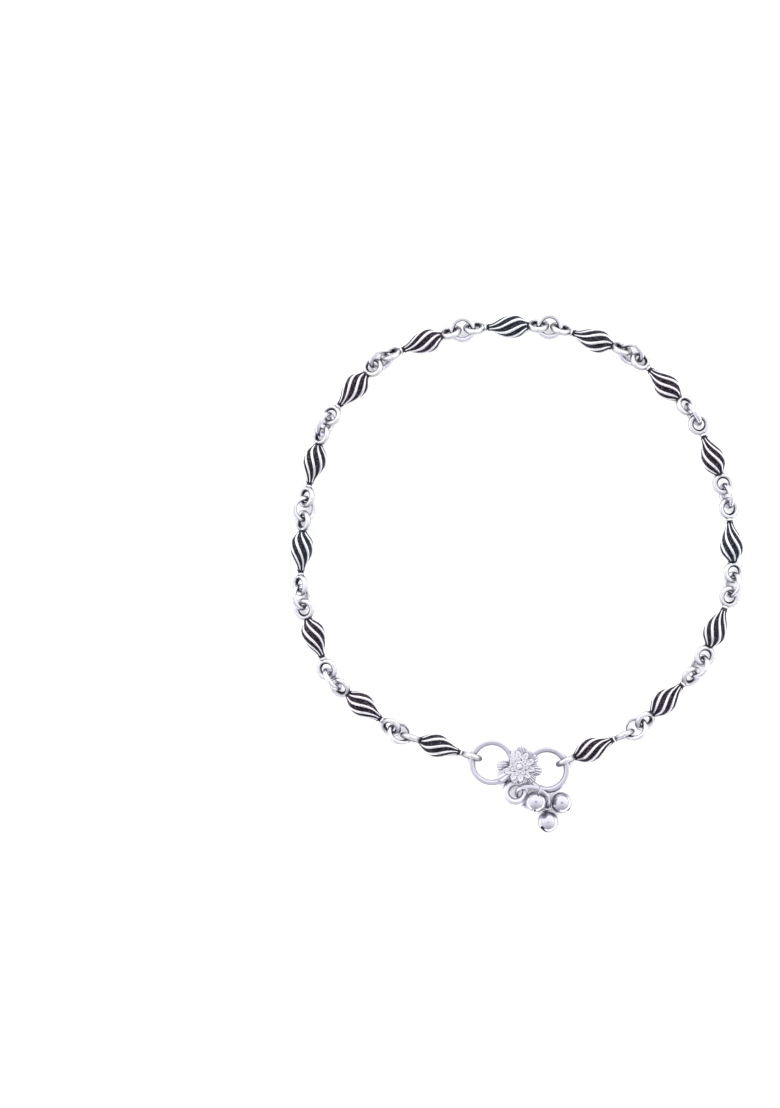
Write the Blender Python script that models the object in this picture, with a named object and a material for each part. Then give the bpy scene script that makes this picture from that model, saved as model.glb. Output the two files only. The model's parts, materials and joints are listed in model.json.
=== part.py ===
# Payal anklet: twisted silver beads on round links, closed by a flower hook with three small bells
import math

import bmesh
import bpy
from mathutils import Matrix, Vector

for leftover in list(bpy.data.objects):
    bpy.data.objects.remove(leftover)

# Bead sizes, in metres
BEAD_LENGTH = 0.0076
BEAD_RADIUS = 0.00235
BEAD_TWIST = math.radians(95)
RIDGES = 8
RIDGE_HEIGHT = 0.0003
COLLAR_LENGTH = 0.0007
COLLAR_RADIUS = 0.00062

# Share of the bead's length from its slim end, and share of its greatest radius there
BEAD_OUTLINE = [(0.0, 0.31), (0.2, 0.56), (0.42, 0.88), (0.63, 1.0), (0.82, 0.83), (1.0, 0.37)]

# Wire rings: radius to the middle of the wire, and the wire's own radius
EYE_RADIUS = 0.00159
EYE_WIRE = 0.00055
LINK_RADIUS = 0.00206
LINK_WIRE = 0.00052
CLASP_RADIUS = 0.00396
CLASP_WIRE = 0.00066
CURL_RADIUS = 0.00188
CURL_WIRE = 0.00075
JUMP_RADIUS = 0.0033
JUMP_WIRE = 0.00038

# Play between two wires that pull on each other, and how deep solder joins two pieces
PLAY = 0.00027
SOLDER = 0.00006

# Flower hook
PLATE_THICKNESS = 0.0006
PLATE_RELIEF = 0.0005
CORE_RADIUS = 0.0013
DOME_RADIUS = 0.0011
DOME_HEIGHT = 0.0010
PETAL_HALF_WIDTH = 0.00105
LOW_PETAL_LENGTH = 0.0044
LOW_PETAL_THICKNESS = 0.0007
BAR_WIRE = 0.00058
LEG_WIRE = 0.00066
STEM_WIRE = 0.00054
HOOK_BEND = 0.0009
KNEE_SHARE = 0.57
KNEE_LIFT = 1.16
POST_RADIUS = 0.0004
LAYER_GAP = 0.00035
PLATE_GAP = 0.0002

# Each petal's direction seen from above, and its length from the flower's middle
PETALS = [
    (108, 0.0035), (82, 0.0041), (54, 0.0037), (28, 0.0040), (-12, 0.0045), (-45, 0.0041), (-75, 0.0036),
    (-105, 0.0034), (209, 0.00485),
]
LOW_PETAL_DIRECTION = math.radians(180)
LEFT_RING_DIRECTION = math.radians(172)
RIGHT_RING_DIRECTION = math.radians(-6.5)

# Bells
BALL_RADIUS = 0.00205
BELL_EYE_RADIUS = 0.00078
BELL_EYE_WIRE = 0.00023
BELL_EYE_AT = BALL_RADIUS + BELL_EYE_RADIUS - BELL_EYE_WIRE / 10
SLOT_WIDTH = 0.00045
SLOT_DEPTH = 0.0011

# Where each bell's eye holds the jump ring, and the direction and slope from there to its ball
BELLS = [(-9.0, 12.0, -8.0), (-26.0, -78.0, 4.0), (79.0, -108.0, -28.0)]

# Lie of the curl and the jump ring: middle, heading and slope
CURL_PLACE = Vector((-0.00072, -0.00508, 0.0024))
CURL_SLOPE = math.radians(-8)
JUMP_PLACE = Vector((0.0026, -0.0061, 0.00297))
JUMP_HEADING = math.radians(-22)
JUMP_SLOPE = math.radians(50.5)

# The loop's path through the link rings as it lies, clockwise from the clasp, seen from above
ROUTE = [
    (-0.0237, 0.0065), (-0.0366, 0.0166), (-0.0428, 0.0328), (-0.0421, 0.0500), (-0.0383, 0.0666),
    (-0.0278, 0.0792), (-0.0120, 0.0853), (0.0050, 0.0862), (0.0213, 0.0812), (0.0335, 0.0698),
    (0.0404, 0.0541), (0.0421, 0.0364), (0.0356, 0.0198), (0.0226, 0.0071),
]

# Roll of each bead and each link ring about the chain, in degrees, 0 with its eyes level
BEAD_ROLLS = [-85, -40, -20, -52, -45, -25, -62, -57, -64, -35, -3, -20, -15, -42, -85]
LINK_ROLLS = [28, 68, 44, 20, 56, 43, 8, 8, 33, 76, 66, 52, 48, 23]

# How slack the chain lies at each link ring, as a share of PLAY
LINK_SLACKS = [1.4, 1.1, 0.6, 0.8, 1.5, 1.5, 1.0, 1.3, 1.5, 1.1, 0.4, 0.45, 0.6, 0.5]

# Facets
BEAD_SIDES = 2 * RIDGES
RING_STEPS = 12
WIRE_SIDES = 5
BAR_SIDES = 8
CURL_STEPS = 16
CLASP_STEPS = 20
JUMP_STEPS = 18
BALL_STEPS = 14
PLATE_STEPS = 80

# A wire's rounded end, and the least slope of its side at which a flat is still turned down
END_ROUNDING = 0.6
STEEP = 0.35

# Lengths that follow from the sizes above
SLIM_EYE_AT = BEAD_LENGTH / 2 + COLLAR_LENGTH + EYE_RADIUS + EYE_WIRE - SOLDER
BLUNT_EYE_AT = BEAD_LENGTH / 2 + EYE_RADIUS + EYE_WIRE - SOLDER
LINK_REACHES = [LINK_RADIUS - LINK_WIRE - EYE_WIRE - PLAY * slack + EYE_RADIUS for slack in LINK_SLACKS]
CLASP_REACH = CLASP_RADIUS - CLASP_WIRE - EYE_WIRE - PLAY + EYE_RADIUS
REACHES = [CLASP_REACH, *LINK_REACHES, CLASP_REACH]
PITCHES = [SLIM_EYE_AT + BLUNT_EYE_AT + a + b for a, b in zip(REACHES, REACHES[1:])]
CLASP_LEVEL = 2 * BAR_WIRE + LAYER_GAP + CLASP_WIRE
PLATE_LEVEL = CLASP_LEVEL + CLASP_WIRE + PLATE_GAP
CLASP_FROM_MIDDLE = POST_RADIUS + LAYER_GAP + CLASP_WIRE + CLASP_RADIUS
LEFT_RING = Vector((math.cos(LEFT_RING_DIRECTION), math.sin(LEFT_RING_DIRECTION), 0)) * CLASP_FROM_MIDDLE
RIGHT_RING = Vector((math.cos(RIGHT_RING_DIRECTION), math.sin(RIGHT_RING_DIRECTION), 0)) * CLASP_FROM_MIDDLE


def silver(name, colour, roughness):
    """A plain metal material."""
    material = bpy.data.materials.new(name)
    material.use_nodes = True
    shader = material.node_tree.nodes["Principled BSDF"]
    shader.inputs["Base Color"].default_value = (*colour, 1.0)
    shader.inputs["Metallic"].default_value = 1.0
    shader.inputs["Roughness"].default_value = roughness
    return material


def loft(name, rows, closed=False):
    """A closed mesh through rows of points, each row a closed loop; a row of one point is a tip."""
    build = bmesh.new()
    loops = [[build.verts.new(point) for point in row] for row in rows]
    pairs = list(zip(loops, loops[1:]))
    if closed:
        pairs.append((loops[-1], loops[0]))
    for lower, upper in pairs:
        count = max(len(lower), len(upper))
        for i in range(count):
            corners = [lower[i % len(lower)], lower[(i + 1) % len(lower)]]
            corners += [upper[(i + 1) % len(upper)], upper[i % len(upper)]]
            build.faces.new(list(dict.fromkeys(corners)))
    for row in (loops[0], loops[-1]):
        if not closed and len(row) > 2:
            build.faces.new(row)
    bmesh.ops.recalc_face_normals(build, faces=build.faces)
    mesh = bpy.data.meshes.new(name)
    build.to_mesh(mesh)
    build.free()
    return mesh


def smooth(mesh, sharp_above=50):
    """Shades a mesh smooth, with its sharper edges kept."""
    mesh.shade_smooth()
    mesh.set_sharp_from_angle(angle=math.radians(sharp_above))
    return mesh


def circle(middle, across, up, radius, sides, turn=0.0):
    """Points of a circle in the plane of two unit vectors."""
    angles = [turn + 2 * math.pi * i / sides for i in range(sides)]
    return [middle + (across * math.cos(a) + up * math.sin(a)) * radius for a in angles]


def ring_rows(radius, wire, steps, sides):
    """Rows of a round wire ring that lies level about the origin."""
    rows = []
    for i in range(steps):
        angle = 2 * math.pi * i / steps
        out = Vector((math.cos(angle), math.sin(angle), 0))
        rows.append(circle(out * radius, out, Vector((0, 0, 1)), wire, sides, math.pi / sides))
    return rows


def smooth_path(points, steps):
    """A Catmull-Rom curve through the points, its ends included."""
    path = []
    padded = [2 * points[0] - points[1], *points, 2 * points[-1] - points[-2]]
    for a, b, c, d in zip(padded, padded[1:], padded[2:], padded[3:]):
        for i in range(steps):
            t = i / steps
            bend = 2 * b + (c - a) * t + (2 * a - 5 * b + 4 * c - d) * t * t + (3 * b - a - 3 * c + d) * t ** 3
            path.append(bend / 2)
    path.append(points[-1])
    return path


def end_row(row, middle, outward):
    """A smaller row just past the end of a wire, which rounds it off."""
    reach = (row[0] - middle).length
    return [middle + (point - middle) * END_ROUNDING + outward * reach * END_ROUNDING for point in row]


def wire_rows(path, radius):
    """Rows of a round wire along a path, with rounded ends, a flat side of it turned down."""
    side = Vector((0, 1, 0))
    rows = []
    for i, point in enumerate(path):
        along = (path[min(i + 1, len(path) - 1)] - path[max(i - 1, 0)]).normalized()
        level_side = along.cross(Vector((0, 0, 1)))
        if level_side.length > STEEP:
            side = level_side
        side = (side - along * side.dot(along)).normalized()
        rows.append(circle(point, side, side.cross(along), radius, BAR_SIDES, math.pi / BAR_SIDES))
    rows.insert(0, end_row(rows[0], path[0], (path[0] - path[1]).normalized()))
    rows.append(end_row(rows[-1], path[-1], (path[-1] - path[-2]).normalized()))
    return rows


def place(name, mesh, material, matrix=Matrix.Identity(4)):
    """One named piece in the scene."""
    piece = bpy.data.objects.new(name, mesh)
    mesh.materials.clear()
    mesh.materials.append(material)
    piece.matrix_world = matrix
    bpy.context.scene.collection.objects.link(piece)
    return piece


def combine(name, meshes, cutters=()):
    """One mesh: the first one joined with the others, then cut by the cutters."""
    base = bpy.data.objects.new(name, meshes[0])
    bpy.context.scene.collection.objects.link(base)
    helpers = [base]
    for operation, group in (("UNION", meshes[1:]), ("DIFFERENCE", cutters)):
        for mesh in group:
            helper = bpy.data.objects.new(mesh.name, mesh)
            helper.hide_render = True
            helper.display_type = "WIRE"
            bpy.context.scene.collection.objects.link(helper)
            helpers.append(helper)
            step = base.modifiers.new(operation.title(), "BOOLEAN")
            step.operation = operation
            step.object = helper
            step.solver = "EXACT"
    bpy.context.view_layer.update()
    result = bpy.data.meshes.new_from_object(base.evaluated_get(bpy.context.evaluated_depsgraph_get()))
    result.name = name
    for helper in helpers:
        bpy.data.objects.remove(helper)
    return result


def twist_bead_mesh():
    """A drop-shaped bead along X, slim end first, with winding ridges and an eye at both ends."""
    axis, across, up = Vector((1, 0, 0)), Vector((0, 1, 0)), Vector((0, 0, 1))
    neck = BEAD_LENGTH / 2 + COLLAR_LENGTH
    rows = [circle(-axis * (neck + EYE_WIRE), across, up, COLLAR_RADIUS * 0.7, BEAD_SIDES)]
    rows.append(circle(-axis * neck, across, up, COLLAR_RADIUS, BEAD_SIDES))
    for share, width in BEAD_OUTLINE:
        turn = -BEAD_TWIST * share
        middle = axis * BEAD_LENGTH * (share - 0.5)
        ridge = circle(middle, across, up, BEAD_RADIUS * width, BEAD_SIDES, turn)
        groove = circle(middle, across, up, (BEAD_RADIUS - RIDGE_HEIGHT) * width, BEAD_SIDES, turn)
        rows.append([ridge[i] if i % 2 == 0 else groove[i] for i in range(BEAD_SIDES)])
    rows.append(circle(axis * (BEAD_LENGTH / 2 + EYE_WIRE), across, up, COLLAR_RADIUS * 0.7, BEAD_SIDES, -BEAD_TWIST))
    body = loft("bead_body", rows)
    eyes = []
    for at in (-SLIM_EYE_AT, BLUNT_EYE_AT):
        eye = loft("bead_eye", ring_rows(EYE_RADIUS, EYE_WIRE, RING_STEPS, WIRE_SIDES), closed=True)
        turn = Matrix.Rotation(math.pi if at > 0 else 0, 4, "Z")
        eye.transform(Matrix.Translation(axis * at) @ turn)
        eyes.append(eye)
    return smooth(combine("twist_bead", [body, *eyes]), 40)


def petal_reach(angle):
    """The plate's outline: how far it goes from the middle in a direction."""
    reach = CORE_RADIUS
    for direction, length in PETALS:
        off = (angle - math.radians(direction) + math.pi) % (2 * math.pi) - math.pi
        if abs(off) > math.pi / 3:
            continue
        tip = length - PETAL_HALF_WIDTH
        side = abs(tip * math.sin(off))
        if side < PETAL_HALF_WIDTH:
            reach = max(reach, tip * math.cos(off) + math.sqrt(PETAL_HALF_WIDTH ** 2 - side ** 2))
        else:
            reach = max(reach, PETAL_HALF_WIDTH / abs(math.sin(off)))
    return reach


def petal_relief(radius, angle):
    """Height of the cast relief: petals rounded across with a raised rib, and a dome in the middle."""
    offsets = [(angle - math.radians(d) + math.pi) % (2 * math.pi) - math.pi for d, _ in PETALS]
    off = min(offsets, key=abs)
    across = min(abs(radius * math.sin(off)) / PETAL_HALF_WIDTH, 1.0)
    height = PLATE_RELIEF * (1 - across ** 2)
    if radius < DOME_RADIUS:
        height = max(height, DOME_HEIGHT * math.sqrt(1 - (radius / DOME_RADIUS) ** 2) + PLATE_RELIEF * 0.5)
    return height


def flower_plate_mesh():
    """The cast flower, flat below, with its petals and middle raised."""
    angles = [2 * math.pi * i / PLATE_STEPS for i in range(PLATE_STEPS)]
    outline = [petal_reach(a) for a in angles]

    def row(share, height_share, base):
        points = []
        for angle, reach in zip(angles, outline):
            radius = reach * share
            height = base + petal_relief(radius, angle) * height_share
            points.append(Vector((math.cos(angle) * radius, math.sin(angle) * radius, height)))
        return points

    low, top = PLATE_LEVEL, PLATE_LEVEL + PLATE_THICKNESS
    rows = [row(1.0, 0.0, low), row(1.0, 0.0, top)]
    rows += [row(share, 1.0, top) for share in (0.88, 0.65, 0.45, 0.28, 0.14)]
    return loft("flower_plate", rows)


def low_petal_mesh():
    """The petal that passes under the left clasp ring and shows in its hole."""
    along = Vector((math.cos(LOW_PETAL_DIRECTION), math.sin(LOW_PETAL_DIRECTION), 0))
    side = Vector((-along.y, along.x, 0))
    middle = along * (LOW_PETAL_LENGTH + CORE_RADIUS) / 2
    half_length = (LOW_PETAL_LENGTH - CORE_RADIUS) / 2
    top = 2 * BAR_WIRE + LAYER_GAP * 0.3
    low = top - LOW_PETAL_THICKNESS
    rows = []
    for share, level in ((0.85, low), (1.0, (low + top) / 2), (0.8, top - LOW_PETAL_THICKNESS * 0.1)):
        angles = [2 * math.pi * i / BEAD_SIDES for i in range(BEAD_SIDES)]
        rim = [middle + (along * math.cos(a) * half_length + side * math.sin(a) * PETAL_HALF_WIDTH * 1.1) * share
               for a in angles]
        rows.append([Vector((p.x, p.y, level)) for p in rim])
    rows.append([Vector((middle.x, middle.y, top))])
    return loft("low_petal", rows)


def post_mesh(at, low, high):
    """An upright post between the back bar and the plate."""
    across, up = Vector((1, 0, 0)), Vector((0, 1, 0))
    rows = [circle(Vector((at.x, at.y, z)), across, up, POST_RADIUS, BAR_SIDES) for z in (low, high)]
    return loft("post", rows)


def lie(middle, heading, slope):
    """The lie of a ring: turned about the vertical, then raised on its left side by the slope."""
    return Matrix.Translation(middle) @ Matrix.Rotation(heading, 4, "Z") @ Matrix.Rotation(slope, 4, "X")


def flower_hook_mesh():
    """Plate, posts, back bar with its open end, and the curl below, soldered into one piece."""
    hole_edge = CLASP_RADIUS - CLASP_WIRE - POST_RADIUS - LAYER_GAP
    left_post = LEFT_RING + Vector((0.61, -0.79, 0)).normalized() * hole_edge
    hook_end = RIGHT_RING + Vector((-1.0, 0.06, 0)).normalized() * hole_edge
    level = Vector((0, 0, BAR_WIRE * math.cos(math.pi / BAR_SIDES)))
    above = Vector((0, 0, CLASP_LEVEL))
    toward = hook_end.normalized()
    bar = [left_post + level, level]
    for quarter in (0.0, math.pi / 6, math.pi / 3, math.pi / 2):
        rise = Vector((0, 0, HOOK_BEND * (1 - math.cos(quarter))))
        bar.append(hook_end + toward * HOOK_BEND * (math.sin(quarter) - 1) + rise + level)
    bar.append(hook_end + above)
    curl_side = CURL_PLACE + Vector((-CURL_RADIUS, 0, 0))
    curl_back = CURL_PLACE + lie(Vector(), 0, CURL_SLOPE) @ Vector((0, CURL_RADIUS, 0))
    knee = curl_side.lerp(Vector((curl_side.x, left_post.y, 0)), KNEE_SHARE)
    knee.z = LEG_WIRE * KNEE_LIFT
    leg = [curl_side, Vector((curl_side.x, (curl_side.y + knee.y) / 2, (curl_side.z + level.z) / 2)), knee]
    leg.append(left_post + Vector((0, 0, LEG_WIRE)))
    stem = [level, curl_back * 0.5 + level * 0.6, curl_back]
    curl = loft("curl", ring_rows(CURL_RADIUS, CURL_WIRE, CURL_STEPS, BAR_SIDES), closed=True)
    curl.transform(lie(CURL_PLACE, 0, CURL_SLOPE))
    inside_plate = PLATE_LEVEL + PLATE_THICKNESS / 2
    parts = [
        flower_plate_mesh(),
        loft("back_bar", wire_rows(bar, BAR_WIRE)),
        post_mesh(Vector(), level.z, inside_plate),
        post_mesh(left_post, level.z, inside_plate),
        low_petal_mesh(),
        curl,
        loft("leg", wire_rows(smooth_path(leg, 2), LEG_WIRE)),
        loft("stem", wire_rows(smooth_path(stem, 2), STEM_WIRE)),
    ]
    return smooth(combine("flower_hook", parts), 35)


def bell_mesh():
    """A ghungroo: a round ball with its eye at +X and its slot on the far side."""
    build = bmesh.new()
    bmesh.ops.create_uvsphere(build, u_segments=BALL_STEPS, v_segments=BAR_SIDES, radius=BALL_RADIUS)
    ball = bpy.data.meshes.new("ball")
    build.to_mesh(ball)
    build.free()
    ball.transform(Matrix.Rotation(math.pi / 2, 4, "Y"))
    eye = loft("bell_eye", ring_rows(BELL_EYE_RADIUS, BELL_EYE_WIRE, RING_STEPS, WIRE_SIDES), closed=True)
    eye.transform(Matrix.Translation((BELL_EYE_AT, 0, 0)))
    build = bmesh.new()
    bmesh.ops.create_cube(build, size=1)
    slot = bpy.data.meshes.new("slot")
    build.to_mesh(slot)
    build.free()
    size = Matrix.Diagonal((2 * SLOT_DEPTH, 2 * BALL_RADIUS, SLOT_WIDTH, 1))
    slot.transform(Matrix.Translation((-BALL_RADIUS, 0, 0)) @ size)
    return smooth(combine("bell", [ball, eye], [slot]), 40)


def chord_walk(path, start, steps):
    """Points on the path, each one step in a straight line from the one before."""
    places, at = [], start
    index = 0
    while index + 1 < len(path) and len(places) < len(steps):
        reach = steps[len(places)]
        if (path[index + 1] - at).length >= reach:
            a, b = path[index], path[index + 1]
            low, high = 0.0, 1.0
            for _ in range(40):
                half = (low + high) / 2
                if (a.lerp(b, half) - at).length < reach:
                    low = half
                else:
                    high = half
            at = a.lerp(b, high)
            places.append(at)
            path = path[:index] + [at] + path[index + 1:]
        index += 1
    return places


def link_places():
    """The middles of the link rings: the route, scaled until the chain just reaches from ring to ring."""
    low, high = 0.3, 3.0
    places = []
    for _ in range(50):
        scale = (low + high) / 2
        points = [LEFT_RING, *[Vector((x, y, 0)) * scale for x, y in ROUTE], RIGHT_RING]
        path = smooth_path(points, 24)
        found = chord_walk(path, LEFT_RING, PITCHES[:-1])
        if len(found) < len(LINK_ROLLS) or (found[-1] - RIGHT_RING).length < PITCHES[-1]:
            low = scale
        else:
            high = scale
            places = found
    return places


def along_chain(at, ahead, roll):
    """A frame at a point: X along the chain, rolled about it."""
    x = (ahead - at).normalized()
    y = Vector((-x.y, x.x, 0)).normalized()
    turn = Matrix((x, y, x.cross(y))).transposed().to_4x4()
    return turn @ Matrix.Rotation(math.radians(roll), 4, "X")


def build_chain(bead_silver, wire_silver):
    """Fifteen beads and the link rings between them, lying on the surface."""
    stops = [LEFT_RING, *link_places(), RIGHT_RING]
    bead = twist_bead_mesh()
    for i, roll in enumerate(BEAD_ROLLS):
        start, end = stops[i], stops[i + 1]
        ahead = (end - start).normalized()
        at = start + ahead * (REACHES[i] + SLIM_EYE_AT)
        at.z = BEAD_RADIUS
        place(f"bead_{i + 1:02d}", bead, bead_silver, Matrix.Translation(at) @ along_chain(start, end, roll))
    link = smooth(loft("link_ring", ring_rows(LINK_RADIUS, LINK_WIRE, RING_STEPS, WIRE_SIDES), closed=True))
    for i, roll in enumerate(LINK_ROLLS):
        at = stops[i + 1].copy()
        half_bend = (at - stops[i]).angle(stops[i + 2] - at) / 2
        turn = along_chain(stops[i], stops[i + 2], roll)
        inward = -along_chain(stops[i], stops[i + 2], 0).to_3x3().col[1]
        at += inward * (LINK_REACHES[i] - EYE_RADIUS / 2) * math.sin(half_bend)
        at.z = max(BEAD_RADIUS, LINK_RADIUS * abs(math.sin(math.radians(roll))) + LINK_WIRE)
        place(f"link_ring_{i + 1:02d}", link, wire_silver, Matrix.Translation(at) @ turn)


def build_clasp(hook_silver, wire_silver):
    """The two clasp rings, the flower hook, the jump ring and its bells."""
    clasp = smooth(loft("clasp_ring", ring_rows(CLASP_RADIUS, CLASP_WIRE, CLASP_STEPS, WIRE_SIDES), closed=True))
    level = Vector((0, 0, CLASP_LEVEL))
    place("clasp_ring_left", clasp, wire_silver, Matrix.Translation(LEFT_RING + level))
    place("clasp_ring_right", clasp, wire_silver, Matrix.Translation(RIGHT_RING + level))
    place("flower_hook", flower_hook_mesh(), hook_silver)
    jump = smooth(loft("jump_ring", ring_rows(JUMP_RADIUS, JUMP_WIRE, JUMP_STEPS, WIRE_SIDES), closed=True))
    jump_lie = lie(JUMP_PLACE, JUMP_HEADING, JUMP_SLOPE)
    place("jump_ring", jump, wire_silver, jump_lie)
    bell = bell_mesh()
    for i, angles in enumerate(BELLS):
        hold, heading, slope = [math.radians(a) for a in angles]
        wire = jump_lie @ Vector((math.cos(hold) * JUMP_RADIUS, math.sin(hold) * JUMP_RADIUS, 0))
        tangent = jump_lie.to_3x3() @ Vector((-math.sin(hold), math.cos(hold), 0))
        ahead = Vector((math.cos(heading) * math.cos(slope), math.sin(heading) * math.cos(slope), math.sin(slope)))
        normal = (tangent - ahead * tangent.dot(ahead)).normalized()
        turn = Matrix((-ahead, normal.cross(-ahead), normal)).transposed().to_4x4()
        middle = wire + ahead * BELL_EYE_AT
        place(f"bell_{i + 1:02d}", bell, wire_silver, Matrix.Translation(middle) @ turn)


def settle():
    """Moves the whole part so that the origin is the middle of its base."""
    bpy.context.view_layer.update()
    corners = [piece.matrix_world @ v.co for piece in bpy.data.objects for v in piece.data.vertices]
    low = Vector([min(p[k] for p in corners) for k in range(3)])
    high = Vector([max(p[k] for p in corners) for k in range(3)])
    shift = Vector((-(low.x + high.x) / 2, -(low.y + high.y) / 2, -low.z))
    for piece in bpy.data.objects:
        piece.matrix_world = Matrix.Translation(shift) @ piece.matrix_world


oxidised = silver("oxidised_silver", (0.42, 0.42, 0.46), 0.35)
polished = silver("polished_silver", (0.84, 0.83, 0.86), 0.22)
cast = silver("cast_silver", (0.72, 0.71, 0.75), 0.3)
build_chain(oxidised, polished)
build_clasp(cast, polished)
settle()
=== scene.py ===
# %% [markdown]
# # A silver payal anklet, lying as a loop on a pale surface
#
# A payal is worn round the ankle. This one has twisted, blackened silver beads joined by bright
# round links, and a cast flower hides its hook, with three small ghungroo bells below.
# The solids that were packed before give every piece its place. This script dresses them with
# finer meshes and with silver that looks like silver.

# %% Open the measured solids
import json
import math

import bmesh
import bpy
import numpy as np
from mathutils import Matrix, Vector

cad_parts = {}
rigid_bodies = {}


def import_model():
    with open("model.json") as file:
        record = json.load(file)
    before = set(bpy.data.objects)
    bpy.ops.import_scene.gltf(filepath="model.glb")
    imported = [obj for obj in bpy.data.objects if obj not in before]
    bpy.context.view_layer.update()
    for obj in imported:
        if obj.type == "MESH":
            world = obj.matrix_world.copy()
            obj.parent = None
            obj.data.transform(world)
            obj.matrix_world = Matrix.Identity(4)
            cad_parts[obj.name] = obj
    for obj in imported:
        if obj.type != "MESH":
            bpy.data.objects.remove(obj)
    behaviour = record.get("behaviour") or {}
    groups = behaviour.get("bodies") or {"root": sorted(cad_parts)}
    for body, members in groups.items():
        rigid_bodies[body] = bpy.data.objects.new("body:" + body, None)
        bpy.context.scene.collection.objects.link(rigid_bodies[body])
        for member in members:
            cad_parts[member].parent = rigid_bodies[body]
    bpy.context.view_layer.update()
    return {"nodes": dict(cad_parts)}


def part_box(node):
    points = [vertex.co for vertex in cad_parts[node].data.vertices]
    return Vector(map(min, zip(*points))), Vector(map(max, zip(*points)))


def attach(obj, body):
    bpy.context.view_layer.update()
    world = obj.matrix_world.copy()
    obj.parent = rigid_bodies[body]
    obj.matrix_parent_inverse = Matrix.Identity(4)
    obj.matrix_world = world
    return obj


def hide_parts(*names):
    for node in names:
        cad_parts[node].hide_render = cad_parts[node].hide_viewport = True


for leftover in list(bpy.data.objects):
    bpy.data.objects.remove(leftover)
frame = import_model()
MM = 0.001

# %% [markdown]
# ## Where each piece lies
#
# The rings and beads lie at odd angles, so their places are read back from the solids. The
# spread of a ring's points is widest in its own plane and least along its axis, and the
# singular vectors of the points give those directions. A bead is longest along its own axis.

# %% Read the lie of a solid
def points_of(name):
    """The corners of a solid, each once, in metres."""
    corners = [vertex.co for vertex in frame["nodes"][name].data.vertices]
    return np.unique(np.round(np.array(corners, float), 7), axis=0)


def spread(points):
    """The middle of some points and the directions of their widest, middle and least spread."""
    middle = points.mean(0)
    directions = np.linalg.svd(points - middle, full_matrices=False)[2]
    return middle, directions


def lie_of(middle, x, z):
    """The matrix that puts a piece's X along x, its Z as near to z as it can, and its origin at middle."""
    x = Vector(x).normalized()
    z = Vector(z)
    z = (z - x * z.dot(x)).normalized()
    turn = Matrix((x, z.cross(x), z)).transposed().to_4x4()
    return Matrix.Translation(Vector(middle)) @ turn


def ring_lie(name):
    """The lie of a round ring, with its axis along Z."""
    middle, directions = spread(points_of(name))
    return lie_of(middle, directions[0], directions[2])


print("first link lies at, in mm:", [round(v / MM, 2) for v in ring_lie("link_ring_01").translation])

# %% [markdown]
# A bead's slim end points back along the chain. Its widest part is nearer the blunt end, which
# tells the two ends apart, and the eyes beyond the body are flat, which gives the bead's roll.

# %% Read the lie of a bead
COLLAR_LENGTH = 0.7 * MM
WIDEST_SHARE, EYE_SHARE = 0.85, 0.68


def across_eye(points, along):
    """The direction across a flat eye: the least spread of its points, square to along."""
    across = points - points.mean(0)
    across = across - np.outer(across @ along, along)
    return np.linalg.svd(across, full_matrices=False)[2][1]


def bead_lie(name):
    """The lie of a bead: X from its slim end to its blunt end, Z across its flat eyes."""
    points = points_of(name)
    middle, directions = spread(points)
    along = directions[0]
    reach = (points - middle) @ along
    halfway = (reach.max() + reach.min()) / 2
    wide = np.linalg.norm(points - middle - np.outer(reach, along), axis=1)
    if reach[wide > WIDEST_SHARE * wide.max()].mean() < halfway:
        along, reach, halfway = -along, -reach, -halfway
    ends = points[np.abs(reach - halfway) > EYE_SHARE * (reach.max() - halfway)]
    return lie_of(middle + along * (halfway + COLLAR_LENGTH / 2), along, across_eye(ends, along))


print("first bead lies at, in mm:", [round(v / MM, 2) for v in bead_lie("bead_01").translation])

# %% [markdown]
# ## Silver
#
# Every piece is sterling silver: the links are drawn wire, tumbled bright, and the beads and the
# flower are cast, blackened with sulphur and rubbed bright again on the high places. So one
# recipe serves: bright metal where a piece is rubbed, a dark sulphide film in its hollows, and the
# same dark colour as painted shade on the flanks of every piece and in the bells' slits. Each mesh
# carries a value at each corner, from 0 in a hollow and where shade is painted to 1 on a ridge. It is
# stored on the mesh and not painted as a picture, so no piece has to be unwrapped.

# %% Colours and nodes
def linear(hex_colour):
    """An sRGB hex colour as the linear colour that the shader takes."""
    shares = [int(hex_colour[i:i + 2], 16) / 255 for i in (0, 2, 4)]
    return (*[s / 12.92 if s <= 0.04045 else ((s + 0.055) / 1.055) ** 2.4 for s in shares], 1.0)


def add_node(tree, kind, options=None, values=None, links=None):
    """Adds one node: options set its modes, values its inputs, and links joins inputs to outputs."""
    node = tree.nodes.new(kind)
    for name, value in (options or {}).items():
        setattr(node, name, value)
    for name, value in (values or {}).items():
        node.inputs[name].default_value = value
    for name, output in (links or {}).items():
        tree.links.new(output, node.inputs[name])
    return node


# A mix node has sockets for numbers, directions and colours, and these are its colour sockets.
FIRST_COLOUR, SECOND_COLOUR, MIXED_COLOUR = 6, 7, 2
print("linear white silver:", [round(c, 3) for c in linear("F3F1F6")])

# %% [markdown]
# The film's tint comes from its thickness, so it is violet on some beads, blue or grey on others,
# and drifts a little over a few millimetres. The grain of the casting is about 0.1 mm. It is drawn
# 0.16 mm wide, and 0.3 mm wide on the beads, because finer grain would not show. Bump gives both
# finishes their roughness to the eye: pits in the dark film, faint tumbling marks on the metal.

# %% A recipe for blackened and rubbed silver
DRIFT_SIZE = 2.5 * MM
RAGGEDNESS = 0.22
HALF_BRIGHT = 0.58
WORN_FILM = "8C8896"
GLOSS_DRIFT = 0.08


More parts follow.
